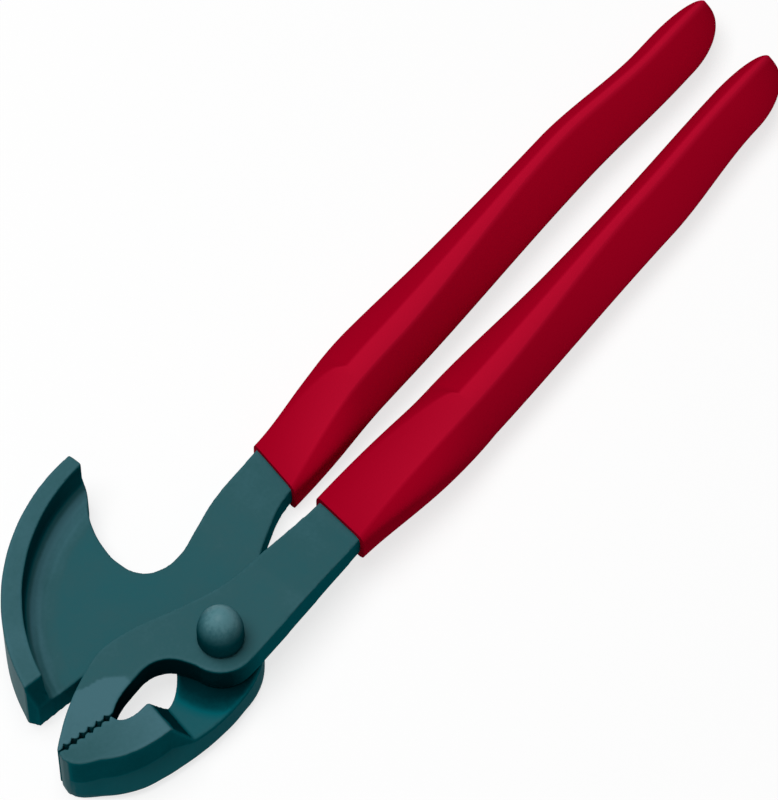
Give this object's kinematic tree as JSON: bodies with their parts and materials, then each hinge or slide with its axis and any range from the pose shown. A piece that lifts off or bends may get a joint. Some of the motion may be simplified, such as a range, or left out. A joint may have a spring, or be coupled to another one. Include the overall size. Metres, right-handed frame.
{
  "type": "nail puller pliers",
  "caption": "Lap-jointed nail puller pliers with a rolling rocker head, serrated nose jaws and long dipped grips.",
  "frame": {"origin": "on the rivet's axis, in the plane of the flat back that the tool lies on", "axes": "+Z out of the front along the rivet's axis, +X from the rivet along the handles, so the jaws point to -X"},
  "size_m": [0.2796, 0.0762, 0.03],
  "materials": {
    "forged_steel": "dark blue-green coating on forged steel, satin",
    "rivet_steel": "dark coating, satin",
    "dipped_vinyl": "red dipped vinyl, soft gloss"
  },
  "bodies": {
    "rocker_side": {"rocker_lever": "forged_steel", "rocker_lever_grip": "dipped_vinyl", "pivot_rivet": "rivet_steel"},
    "jaw_side": {"jaw_lever": "forged_steel", "jaw_lever_grip": "dipped_vinyl"}
  },
  "joints": [
    {"name": "jaw_hinge", "type": "hinge", "parent": "rocker_side", "child": "jaw_side", "pos_m": [0, 0, 0], "axis": [0, 0, -1], "range_deg": [0, 12]}
  ]
}
